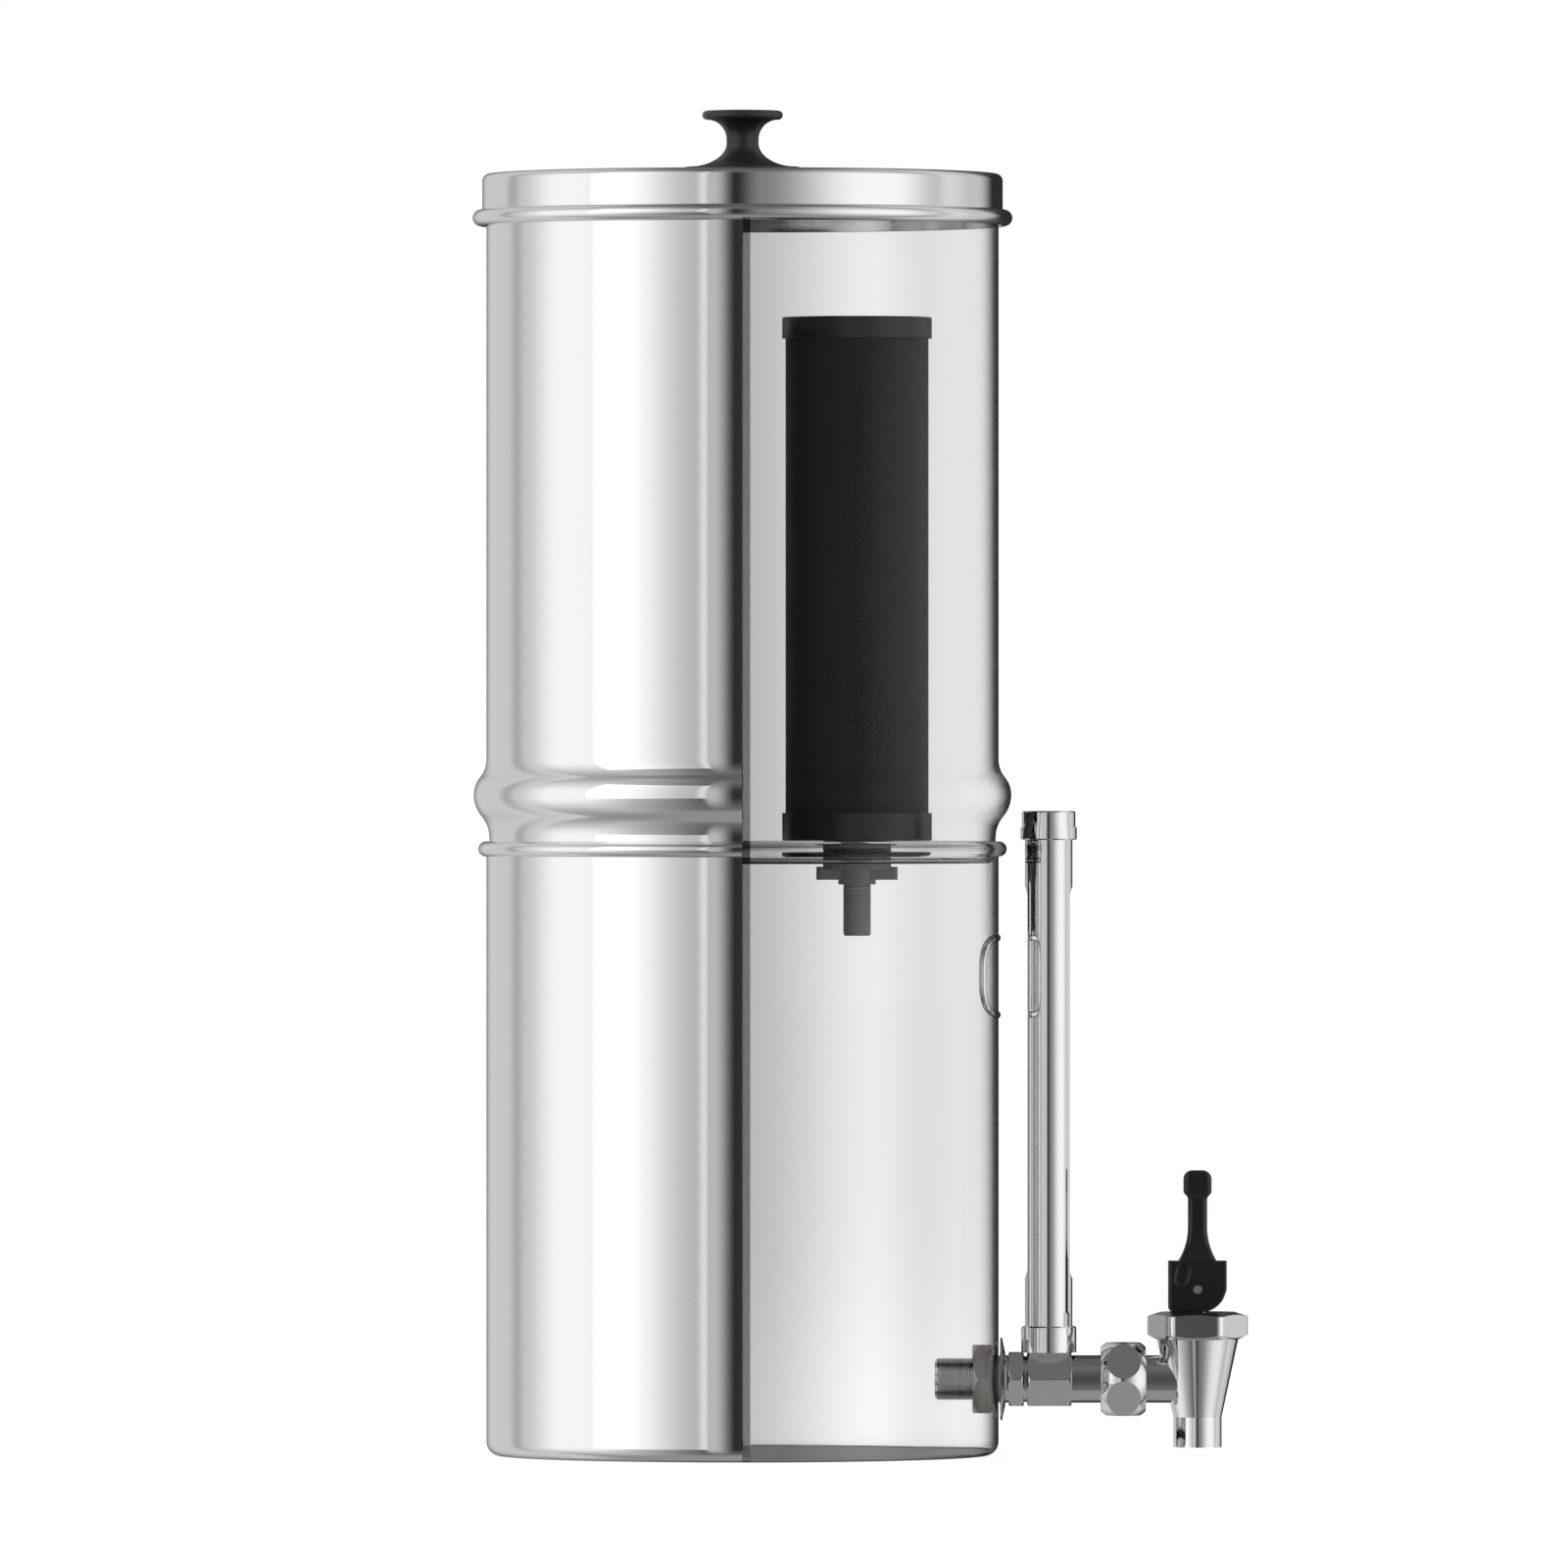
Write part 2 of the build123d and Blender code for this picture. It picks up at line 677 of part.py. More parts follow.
def cam_point(tilt):
    """Point of the foot's lobe that rests on the bonnet when the lever is tipped by tilt."""
    reach = cam_rest + cam_growth * tilt
    return (
        reach * sin(tilt) + cam_growth * cos(tilt),
        -reach * cos(tilt) + cam_growth * sin(tilt),
    )


def block_outline():
    """Side of the block: square at the back, an involute lobe from the foot to the front flat."""
    lobe = [cam_point(radians(max_tilt) * i / lobe_steps) for i in range(lobe_steps + 1)]
    back = -lever_left
    with BuildLine() as outline:
        Spline(*lobe, tangents=((1, 0), (0, 1)))
        Polyline(
            lobe[-1], (lever_right, lever_top), (back, lever_top),
            (back, -cam_rest + lever_corner),
        )
        TangentArc(
            (back, -cam_rest + lever_corner), (back + lever_corner, -cam_rest), tangent=(0, -1)
        )
        Line((back + lever_corner, -cam_rest), lobe[0])
    return make_face(outline.line)


def handle_outline():
    """Front view of the handle: flared root, straight neck and rounded bulb."""
    bulb_low = handle_bulb_low + handle_bulb_taper
    with BuildLine() as half:
        Polyline((0, 0), (handle_root, 0), (handle_root, lever_top))
        TangentArc(
            (handle_neck_r, handle_neck_low), (handle_root, lever_top), tangent=(0, -1)
        )
        Polyline(
            (handle_neck_r, handle_neck_low), (handle_neck_r, handle_bulb_low),
            (handle_bulb_r, bulb_low), (handle_bulb_r, handle_top - handle_bulb_corner),
        )
        corner = TangentArc(
            (handle_bulb_r, handle_top - handle_bulb_corner),
            (handle_bulb_r - handle_bulb_corner, handle_top), tangent=(0, 1),
        )
        Polyline(corner @ 1, (0, handle_top), (0, 0))
    right = make_face(half.line)
    return right + mirror(right, Plane.YZ)


def handle_side():
    """Side view of the handle: from the block's width down to the neck, then the bulb."""
    with BuildLine() as half:
        Polyline((0, 0), (lever_width / 2, 0), (lever_width / 2, lever_top))
        TangentArc(
            (handle_neck_thick, handle_neck_low), (lever_width / 2, lever_top), tangent=(0, -1)
        )
        Line((handle_neck_thick, handle_neck_low), (handle_neck_thick, handle_bulb_low))
        Line(
            (handle_neck_thick, handle_bulb_low),
            (handle_bulb_thick, handle_bulb_low + handle_bulb_taper),
        )
        Line(
            (handle_bulb_thick, handle_bulb_low + handle_bulb_taper),
            (handle_bulb_thick, handle_top - handle_bulb_thick / 2),
        )
        TangentArc(
            (handle_bulb_thick, handle_top - handle_bulb_thick / 2),
            (handle_bulb_thick / 2, handle_top), tangent=(0, 1),
        )
        Polyline((handle_bulb_thick / 2, handle_top), (0, handle_top), (0, 0))
    right = make_face(half.line)
    return right + mirror(right, Plane.YZ)


def lever():
    front = Plane.XZ
    side = Plane.YZ
    reach = 2 * lever_left
    block = extrude(front * block_outline(), lever_width / 2, both=True)
    block = fillet(block.faces().filter_by(Axis.Y).edges(), block_edge)
    handle = extrude(front * handle_outline(), reach, both=True)
    handle &= extrude(side * handle_side(), reach, both=True)
    above = handle.edges().filter_by(lambda edge: edge.center().Z > lever_top + handle_seam)
    handle = fillet(above, handle_edge)
    whole = block + handle
    head_clear = tap_stem_r + slot_clear
    slot = Box(
        2 * reach, tongue + 2 * cheek_gap, reach + head_clear,
        align=(Align.MIN, Align.CENTER, Align.MAX),
    )
    whole -= Pos(-head_clear, 0, head_clear) * slot
    pocket = extrude(SlotOverall(pocket_length, pocket_width, rotation=90 + pocket_tilt), pocket_depth)
    for face in (-1, 1):
        inwards = Rot(face * 90, 0, 0)
        whole -= Pos(-pocket_side, face * lever_width / 2, pocket_up) * inwards * pocket
    whole -= Rot(90, 0, 0) * Cylinder(pin_r, 2 * lever_width)
    return Pos(0, 0, pin_z) * whole


def lever_pin():
    return Pos(0, 0, pin_z) * Rot(90, 0, 0) * Cylinder(pin_r, lever_width)


# ---- Nodes ----

parts = {
    "lower_chamber": lower_chamber(),
    "upper_chamber": upper_chamber(),
    "lid": lid(),
    "lid_knob": lid_knob(),
    "knob_screw": knob_screw(),
    "knob_washer": knob_washer_ring(),
    "gauge_manifold": gauge_manifold(),
    "shank_nut": shank_nut(),
    "inner_wall_washer": inner_wall_washer(),
    "outer_wall_washer": outer_wall_washer(),
    "escutcheon": escutcheon_plate(),
    "coupling_nut": coupling_nut(),
    "coupling_washer": coupling_washer(),
}

element_parts = {
    "carbon_block": carbon_block(),
    "top_cap": element_top_cap(),
    "base_cap": element_base_cap(),
    "stem": element_stem(),
    "seal_washer": element_seal_washer(),
    "lower_washer": element_lower_washer(),
    "wing_nut": element_wing_nut(),
}
for side, sign in (("front", 1), ("rear", -1)):
    for name, shape in element_parts.items():
        parts[f"{side}_filter_{name}"] = Pos(sign * element_offset) * shape

gauge_parts = {
    "gauge_lower_collar": gauge_lower_collar(),
    "gauge_lower_seal": gauge_lower_seal(),
    "gauge_guard": gauge_guard(),
    "gauge_glass": gauge_glass(),
    "gauge_upper_seal": gauge_upper_seal(),
    "gauge_upper_collar": gauge_upper_collar(),
    "gauge_top_cap": gauge_top_cap(),
}
for name, shape in gauge_parts.items():
    parts[name] = Pos(gauge_x) * shape

parts["tap_body"] = tap_body()
tap_parts = {
    "bonnet_cap": bonnet_cap(),
    "gland_ring": gland_ring(),
    "tap_stem": tap_stem(),
    "seat_cup": seat_cup(),
    "return_spring": return_spring(),
    "lever": lever(),
    "lever_pin": lever_pin(),
}
for name, shape in tap_parts.items():
    parts[name] = Pos(tap_x) * shape

os.makedirs("parts", exist_ok=True)
for name, shape in parts.items():
    export_step(shape, f"parts/{name}.step")

print(f"{len(parts)} nodes, stem lift {stem_lift:.2f} mm, lift per radian {cam_growth:.3f} mm")
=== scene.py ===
from math import atan, copysign, cos, degrees, pi, radians, sin, sqrt

import bpy
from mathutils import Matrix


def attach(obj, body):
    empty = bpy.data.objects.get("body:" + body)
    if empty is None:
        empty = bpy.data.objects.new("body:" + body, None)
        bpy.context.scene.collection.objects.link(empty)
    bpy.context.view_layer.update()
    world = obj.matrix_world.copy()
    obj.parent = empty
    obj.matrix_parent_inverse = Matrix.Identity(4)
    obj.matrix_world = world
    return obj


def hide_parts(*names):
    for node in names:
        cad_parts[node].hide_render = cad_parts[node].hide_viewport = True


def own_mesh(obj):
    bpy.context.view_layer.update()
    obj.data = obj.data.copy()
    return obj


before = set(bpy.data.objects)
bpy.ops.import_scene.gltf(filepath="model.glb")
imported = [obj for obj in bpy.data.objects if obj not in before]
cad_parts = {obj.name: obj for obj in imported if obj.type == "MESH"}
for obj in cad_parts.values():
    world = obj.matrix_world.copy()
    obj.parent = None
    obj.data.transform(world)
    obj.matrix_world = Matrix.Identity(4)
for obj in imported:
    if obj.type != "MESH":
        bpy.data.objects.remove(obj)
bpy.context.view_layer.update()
print("frame loaded:", len(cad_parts), "nodes")

bpy.context.scene.view_settings.view_transform = "Standard"
mm = 0.001


def grey(level):
    return (level, level, level)


# a node's output that can stand in a sum
class Wire:
    def __init__(self, book, socket):
        self.book = book
        self.socket = socket

    def maths(self, operation, *values):
        return self.book.add("Math", {"operation": operation}, values)

    def __add__(self, other):
        return self.maths("ADD", self, other)

    def __sub__(self, other):
        return self.maths("SUBTRACT", self, other)

    def __rsub__(self, other):
        return self.maths("SUBTRACT", other, self)

    def __mul__(self, other):
        return self.maths("MULTIPLY", self, other)

    def __truediv__(self, other):
        return self.maths("DIVIDE", self, other)

    def __pow__(self, other):
        return self.maths("POWER", self, other)

    __radd__ = __add__
    __rmul__ = __mul__

    def size(self):
        return self.maths("ABSOLUTE", self)

    def largest(self, other):
        return self.maths("MAXIMUM", self, other)

    # 0 below low, 1 above high, smooth between
    def rises(self, low, high):
        limits = {"Value": self, "From Min": low, "From Max": high}
        return self.book.add("MapRange", {"interpolation_type": "SMOOTHSTEP"}, limits)

    def falls(self, low, high):
        return 1 - self.rises(low, high)

    def between(self, low, high, soft):
        return self.rises(low - soft, low + soft) * self.falls(high - soft, high + soft)


# the nodes of one material, or of the world
class NodeBook:
    def __init__(self, tree):
        self.tree = tree
        tree.nodes.clear()

    def add(self, kind, settings=None, values=None, output=0):
        node = self.tree.nodes.new("ShaderNode" + kind)
        for name, setting in (settings or {}).items():
            setattr(node, name, setting)
        named = values.items() if isinstance(values, dict) else enumerate(values or ())
        for name, value in named:
            if isinstance(value, Wire):
                self.tree.links.new(value.socket, node.inputs[name])
            else:
                node.inputs[name].default_value = value
        return Wire(self, node.outputs[output]) if len(node.outputs) else None

    def split(self, vector):
        return [self.add("SeparateXYZ", None, [vector], i) for i in range(3)]

    def mix(self, share, first, second):
        return self.add("Mix", {"data_type": "FLOAT"}, {0: share, 2: first, 3: second})

    def mixColour(self, share, first, second):
        first, second = [c if isinstance(c, Wire) else (*c, 1) for c in (first, second)]
        return self.add("Mix", {"data_type": "RGBA"}, {0: share, 6: first, 7: second}, 2)

    # a level with bands painted over it in turn: a place and a softness for each end
    def paint(self, value, level, bands):
        for start, end, shade in bands.values():
            band = value.rises(start[0] - start[1], start[0] + start[1])
            if end:
                band = band * value.falls(end[0] - end[1], end[0] + end[1])
            level = self.mix(band, level, shade)
        return level


# what polished metal sees round it, in degrees from the camera, minus to the left
studio = {
    "dark": 0.03,
    "lights": {
        "leftWall": ((-169, 16), (-33, 30), 0.67),
        "leftGap": ((-125, 7), (-121, 7), 0.27),
        "leftWindow": ((-103, 13), (-62, 16), 1.12),
        "nearStrip": ((-16, 2), (-8, 5), 0.58),
        "rightFill": ((3, 6), (138, 10), 0.25),
        "rightWall": ((70, 5), (137, 10), 0.63),
        "rightWindow": ((32, 25), (84, 14), 1.13),
        "rightStrip": ((100, 5), (114, 10), 0.81),
    },
    "panel": 1.30,                          # a softbox that stands before the left window
    "panelBands": {
        "fade": ((-38, 20), None, 0.55),
        "lip": ((-19, 2), (-15.5, 1.5), 0.85),
    },
    "panelTurn": (-71, -15),
    "panelRise": (-0.20, 0.615),            # sines of its lower and upper edge
    "panelSoft": (0.5, 0.012),              # its sides' softness in degrees, its edges' as a sine
    "room": 0.17,                           # the same on both sides
    "roomBands": {
        "side": ((42, 26), None, 0.48),
        "corner": ((78, 16), (107, 6), 0.34),
        "back": ((108, 5), None, 0.72),
        "farEnd": ((156, 30), None, 0.05),
    },
    "fadeUp": (0.15, 1.0),                  # sines of the heights where the glow turns to room
    "fadeDown": (0.1, 0.9),
    "overhead": (0.93, 0.13),               # sine where it starts, and its level
    "underfoot": (0.85, 0.32),
    "capSoft": (0.1, 0.05),                 # how far the two fade below and above that sine
    "plainLight": 0.8,                      # what everything but a mirror sees
    "backdrop": 1.04,                       # what the camera sees
    "mirroredWhite": 0.25,                  # share of white in what metal sees through clear walls
}


# how far a ray should see plain white, and whether a mirror sent it
def lookingWays(book):
    outputs = ("Is Camera Ray", "Is Transmission Ray", "Is Diffuse Ray", "Glossy Depth")
    straight, through, soft, bounces = [book.add("LightPath", output=name) for name in outputs]
    mirrored = bounces.maths("GREATER_THAN", bounces, 0.5) * (1 - soft)
    white = straight.largest(through) * (1 - mirrored)
    return white + mirrored * through * studio["mirroredWhite"], mirrored


def makeStudio():
    s = studio
    world = bpy.data.worlds.new("studio")
    bpy.context.scene.world = world
    world.use_nodes = True
    book = NodeBook(world.node_tree)
    east, north, height = book.split(book.add("TexCoord"))
    turn = east.maths("ARCTAN2", east, north * -1) * (180 / pi)
    glow = book.paint(turn, s["dark"], s["lights"])
    room = book.paint(turn.size(), s["room"], s["roomBands"])
    down = height * -1
    glow = book.mix(height.rises(*s["fadeUp"]) + down.rises(*s["fadeDown"]), glow, room)
    panel = book.paint(turn, s["panel"], s["panelBands"])
    sideSoft, edgeSoft = s["panelSoft"]
    onPanel = turn.between(*s["panelTurn"], sideSoft) * height.between(*s["panelRise"], edgeSoft)
    seen = book.mix(onPanel, glow, panel)
    below, above = s["capSoft"]
    for way, (start, level) in ((height, s["overhead"]), (down, s["underfoot"])):
        seen = book.mix(way.rises(start - below, start + above), seen, level)
    white, mirrored = lookingWays(book)
    level = book.mix(mirrored, s["plainLight"], seen)
    shown = book.mix(white, level, s["backdrop"])
    book.add("OutputWorld", None, {"Surface": book.add("Background", None, {"Color": shown})})


lampAim = (0, 0, 0.28)
lamps = {                                   # place, size and power
    "keyLamp": ((-2.2, -2.6, 2.4), 1.6, 60),
    "fillLamp": ((2.6, -2.0, 1.6), 2.0, 35),
    "topLamp": ((0.3, 0.6, 3.2), 2.0, 45),
}


def makeLamps():
    bpy.ops.object.select_all(action="DESELECT")
    bpy.ops.object.empty_add(location=lampAim)
    aim = bpy.context.object
    aim.name = "aim"
    for name, (place, size, power) in lamps.items():
        bpy.ops.object.light_add(type="AREA", location=place)
        lamp = bpy.context.object
        lamp.name = name
        lamp.data.size = size
        lamp.data.energy = power
        towards = aim.location - lamp.location
        lamp.rotation_euler = towards.to_track_quat("-Z", "Y").to_euler()
        lamp.visible_glossy = False         # metal sees the studio's own panels
        lamp.visible_transmission = False


# a diffuse floor with a share of plain white, which metal doesn't mirror
floorPaper = {"size": 40, "tone": 0.93, "glow": 1.12, "share": 0.75}


def makeFloor():
    bpy.ops.mesh.primitive_plane_add(size=floorPaper["size"])
    floor = bpy.context.object
    floor.name = "floor"
    material, book = newMaterial("floorPaper")
    clean, mirrored = lookingWays(book)
    paper = book.add("BsdfDiffuse", None, {"Color": (*grey(floorPaper["tone"]), 1)})
    white = book.add("Emission", None, {"Color": (*grey(1), 1), "Strength": floorPaper["glow"]})
    seen = book.add("MixShader", None, [clean * floorPaper["share"], paper, white])
    gone = book.add("BsdfTransparent")
    finishMaterial(book, book.add("MixShader", None, [mirrored, seen, gone]))
    floor.data.materials.append(material)


camera = {"place": (0.018, -9.7, 0.2914), "lens": 513.0, "film": 36.0, "reach": 100}


def makeCamera():
    bpy.ops.object.camera_add(location=camera["place"], rotation=(radians(90), 0, 0))
    eye = bpy.context.object
    eye.data.lens = camera["lens"]
    eye.data.sensor_width = camera["film"]
    eye.data.clip_end = camera["reach"]
    bpy.context.scene.camera = eye


def newMaterial(name):
    material = bpy.data.materials.new(name)
    material.use_nodes = True
    return material, NodeBook(material.node_tree)


def finishMaterial(book, shader):
    book.add("OutputMaterial", None, {"Surface": shader})


makeStudio()
makeLamps()
makeFloor()
makeCamera()
print("studio, floor and camera made")


def objectPlace(book, scale=(1, 1, 1)):
    place = book.add("TexCoord", output=3)
    return book.add("Mapping", None, {"Vector": place, "Scale": scale})


def noise(book, place, scale, detail=3.0, roughness=0.5):
    settings = {"Vector": place, "Scale": scale, "Detail": detail, "Roughness": roughness}
    return book.add("TexNoise", None, settings)


# an edge radius makes edges catch the light as if rounded
def bump(book, height, depth, strength=1.0, edgeRadius=None):
    values = {"Height": height, "Distance": depth, "Strength": strength}
    if edgeRadius:
        values["Normal"] = book.add("Bevel", {"samples": 8}, {"Radius": edgeRadius})
    return book.add("Bump", None, values)


# the colour itself, and a darker share of it where the pattern is low
def uneven(book, pattern, colour, darkest):
    return book.mixColour(pattern, [part * darkest for part in colour], colour)


scratches = {"finer": 12, "depth": 0.0004 * mm, "strength": 0.3}


def metal(name, colour, roughness, streak=(1, 1, 1), grain=40.0, wear=0.03):
    material, book = newMaterial(name)
    place = objectPlace(book, streak)
    fine = noise(book, place, grain, detail=4.0)
    finest = noise(book, place, grain * scratches["finer"], detail=2.0)
    values = {
        "Base Color": uneven(book, fine, colour, 0.985),
        "Metallic": 1.0,
        "Roughness": roughness + fine * wear,
        "Normal": bump(book, finest, scratches["depth"], scratches["strength"]),
    }
    finishMaterial(book, book.add("BsdfPrincipled", None, values))
    return material


# 0 where a surface is seen square on, 1 edge on
def facing(book):
    return book.add("LayerWeight", None, {"Blend": 0.5}, "Facing")


# a rim colour paints a paler sheen into the colour towards the sides as seen: a painted highlight
def plastic(
    name, colour, roughness, grain=900.0, depth=0.02 * mm, sheen=0.5, edgeRadius=None, rim=None
):
    material, book = newMaterial(name)
    place = objectPlace(book)
    fine = noise(book, place, grain)
    patches = noise(book, place, grain / 12)
    tone = uneven(book, fine, colour, 0.85)
    # painted sheen: the colour turns paler towards the sides as seen
    if rim:
        tone = book.mixColour(facing(book) ** 0.5, tone, rim)
    values = {
        "Base Color": tone,
        "Roughness": roughness + (patches - 0.5) * 0.1,
        "Specular IOR Level": sheen,
        "Normal": bump(book, fine, depth, edgeRadius=edgeRadius),
    }
    finishMaterial(book, book.add("BsdfPrincipled", None, values))
    return material


def finishClear(book, colour, ior):
    values = {"Base Color": colour, "Roughness": 0.0, "IOR": ior, "Transmission Weight": 1.0}
    finishMaterial(book, book.add("BsdfPrincipled", None, values))


def clearPlastic(name, colour, ior):
    material, book = newMaterial(name)
    fine = noise(book, objectPlace(book), 300.0, detail=2.0)
    finishClear(book, uneven(book, fine, colour, 0.98), ior)
    return material


clearLook = {
    "tintAndShade": 0.68,                           # its level, by millimetres along X from the axis: a grey tint, with painted shade darker near the seam and in a dip further out
    "tintAndShadeBands": {
        "towardsSide": ((27, 32), None, 0.90),
        "shadeDip": ((68, 12), (92, 14), 0.845),
    },
    "edge": 1.0,                            # its level, by how far edge on the wall is seen: painted shade, near black where the wall is seen edge on
    "paintedEdgeShadeBands": {
        "shade": ((0.55, 0.10), None, 0.93),
        "outline": ((0.77, 0.14), None, 0.02),
    },
    "lying": (0.35, 0.85),                  # heights of the normal where the painted edge shade fades
    "fades": 0.85,                          # how much of it fades
    "ior": 1.12,
}


def makeClearWall():
    look = clearLook
    material, book = newMaterial("clearWall")
    across = book.split(objectPlace(book))[0] / mm
    # painted shade: the wall's colour is darker near the seam and in a band further out, by place
    # along X
    tintAndShade = book.paint(across, look["tintAndShade"], look["tintAndShadeBands"])
    # painted shade: the wall's colour darkens towards its edges as seen, less where the normal
    # stands upright
    edge = book.paint(facing(book), look["edge"], look["paintedEdgeShadeBands"])
    lying = book.split(book.add("NewGeometry", output="Normal"))[2].size()
    edge = book.mix(lying.rises(*look["lying"]) * look["fades"], edge, 1)
    finishClear(book, tintAndShade * edge, look["ior"])
    return material


polishedSteel = metal(
    "polishedSteel", (0.82, 0.82, 0.825), 0.03, streak=(1, 1, 0.15), grain=60.0, wear=0.02
)
seamSteel = clearPlastic("seamSteel", (0.40, 0.40, 0.405), clearLook["ior"])
clearWall = makeClearWall()
chrome = metal("chrome", (0.80, 0.80, 0.81), 0.02)
nickel = metal("nutNickel", (0.56, 0.52, 0.46), 0.28, wear=0.1)
threadSteel = metal("threadSteel", (0.62, 0.62, 0.63), 0.15, wear=0.08)
turnedSteel = metal("turnedSteel", (0.60, 0.60, 0.61), 0.22, grain=60.0, wear=0.08)
# a paler, rougher copy of the polished steel: the roughness is real, the paler colour is painted
# brightness for the light the hem catches
paintedBrightHemSteel = metal("paintedBrightHemSteel", grey(0.97), 0.10)
# the carbon block's rim colour is painted sheen, paler towards its sides
carbonBlack = plastic(
    "carbonBlack", grey(0.008), 0.5, grain=700.0, depth=0.004 * mm, sheen=0.2, rim=grey(0.045)
)
capBlack = plastic("capBlack", grey(0.016), 0.30)
stemGrey = plastic("stemGrey", grey(0.21), 0.5)
knobBlack = plastic("knobBlack", grey(0.012), 0.38)
leverBlack = plastic("leverBlack", grey(0.008), 0.10, depth=0.002 * mm, edgeRadius=1.4 * mm)
rubberBlack = plastic("rubberBlack", grey(0.02), 0.7)
silicone = plastic("silicone", (0.75, 0.75, 0.72), 0.45)
gaugeClear = clearPlastic("gaugeClear", (0.97, 0.98, 0.98), 1.46)

nodeFinish = {
    "lid_knob": knobBlack, "knob_screw": turnedSteel, "knob_washer": rubberBlack,
    "gauge_manifold": chrome, "shank_nut": nickel, "escutcheon": chrome,
    "inner_wall_washer": silicone, "outer_wall_washer": silicone,
    "coupling_nut": chrome, "coupling_washer": rubberBlack,
    "gauge_lower_collar": chrome, "gauge_lower_seal": silicone, "gauge_guard": chrome,
    "gauge_glass": gaugeClear, "gauge_upper_seal": silicone, "gauge_upper_collar": chrome,
    "gauge_top_cap": chrome, "tap_body": chrome, "bonnet_cap": chrome,
    "gland_ring": rubberBlack, "tap_stem": turnedSteel, "seat_cup": silicone,
    "return_spring": turnedSteel, "lever": leverBlack, "lever_pin": turnedSteel,
}
elementFinish = {
    "carbon_block": carbonBlack, "top_cap": capBlack, "base_cap": capBlack, "stem": stemGrey,
    "seal_washer": stemGrey, "lower_washer": stemGrey, "wing_nut": stemGrey,
}
for side in ("front", "rear"):
    for name, finish in elementFinish.items():
        nodeFinish[f"{side}_filter_{name}"] = finish
for name, finish in nodeFinish.items():
    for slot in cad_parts[name].material_slots:
        slot.material = finish
print("materials on", len(nodeFinish), "nodes")


def pick(piece):
    bpy.ops.object.select_all(action="DESELECT")
    piece.select_set(True)
    bpy.context.view_layer.objects.active = piece


def edit(piece):
    pick(piece)
    bpy.ops.object.mode_set(mode="EDIT")
    bpy.ops.mesh.select_all(action="SELECT")


def leave():
    bpy.ops.object.mode_set(mode="OBJECT")


# merges what meets and turns every face outwards
def close():
    bpy.ops.mesh.select_all(action="SELECT")
    bpy.ops.mesh.remove_doubles(threshold=0.001 * mm)
    bpy.ops.mesh.normals_make_consistent(inside=False)
    leave()


# a line of points in the XZ plane, drawn point by point, left in edit mode
def drawLine(name, outline):
    bpy.ops.object.select_all(action="DESELECT")
    bpy.ops.mesh.primitive_plane_add(size=mm)
    piece = bpy.context.object
    piece.name = name
    bpy.ops.object.mode_set(mode="EDIT")
    bpy.ops.mesh.select_all(action="SELECT")
    bpy.ops.mesh.merge(type="CENTER")
    bpy.ops.transform.translate(value=(outline[0][0], 0, outline[0][1]))
    for (fromR, fromZ), (toR, toZ) in zip(outline, outline[1:]):
        step = (toR - fromR, 0, toZ - fromZ)
        bpy.ops.mesh.extrude_region_move(TRANSFORM_OT_translate={"value": step})
    bpy.ops.mesh.select_all(action="SELECT")
    return piece


def lathe(name, outline, steps):
    piece = drawLine(name, outline)
    bpy.ops.mesh.spin(steps=steps, angle=radians(360), center=(0, 0, 0), axis=(0, 0, 1))
    close()
    return piece


def applyLast(piece, kind, **settings):
    pick(piece)
    bpy.ops.object.modifier_add(type=kind)
    modifier = piece.modifiers[-1]
    for name, value in settings.items():
        setattr(modifier, name, value)
    bpy.ops.object.modifier_apply(modifier=modifier.name)


def copyPiece(piece, name):
    twin = piece.copy()
    twin.data = piece.data.copy()
    twin.name = name
    bpy.context.scene.collection.objects.link(twin)
    return twin


# keeps the part of a piece between two planes across an axis
def keepSlice(piece, low, high, axis=(1, 0, 0)):
    for place, side in ((low, -1), (high, 1)):
        if place is None:
            continue
        edit(piece)
        bpy.ops.mesh.bisect(
            plane_co=[way * place for way in axis], plane_no=[way * side for way in axis],
            use_fill=True, clear_outer=True,
        )
        leave()


# cuts a round hole with its axis upright, or along X
def drill(piece, place, radius, depth, alongX=False, sides=64):
    bpy.ops.object.select_all(action="DESELECT")
    turn = (0, radians(90), 0) if alongX else (0, 0, 0)
    bpy.ops.mesh.primitive_cylinder_add(
        vertices=sides, radius=radius, depth=depth, location=place, rotation=turn
    )
    cutter = bpy.context.object
    applyLast(piece, "BOOLEAN", operation="DIFFERENCE", solver="EXACT", object=cutter)
    bpy.data.objects.remove(cutter, do_unlink=True)


def smooth(piece, angle=30):
    pick(piece)
    bpy.ops.object.shade_smooth_by_angle(angle=radians(angle))


# dresses a piece, gives it to a body and lets it stand for CAD nodes
def fit(piece, finish, body, slot, *nodes):
    piece.data.materials.clear()
    piece.data.materials.append(finish)
    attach(piece, body)
    if nodes:
        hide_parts(*nodes)


# points of an arc, from one angle in degrees to another
def arc(centre, radius, start, end, steps):
    turns = [radians(start + (end - start) * i / steps) for i in range(steps + 1)]
    return [(centre[0] + radius * cos(turn), centre[1] + radius * sin(turn)) for turn in turns]


# two equal arcs that leave and arrive upright
def wave(start, end, steps):
    width = end[0] - start[0]
    height = end[1] - start[1]
    radius = (height ** 2 + width ** 2) / (4 * abs(width))
    swing = degrees(2 * atan(abs(width) / height))
    if width > 0:
        first = arc((start[0] + radius, start[1]), radius, 180, 180 - swing, steps)
        second = arc((end[0] - radius, end[1]), radius, -swing, 0, steps)
    else:
        first = arc((start[0] - radius, start[1]), radius, 0, swing, steps)
        second = arc((end[0] + radius, end[1]), radius, 180 + swing, 180, steps)
    return first + second[1:]


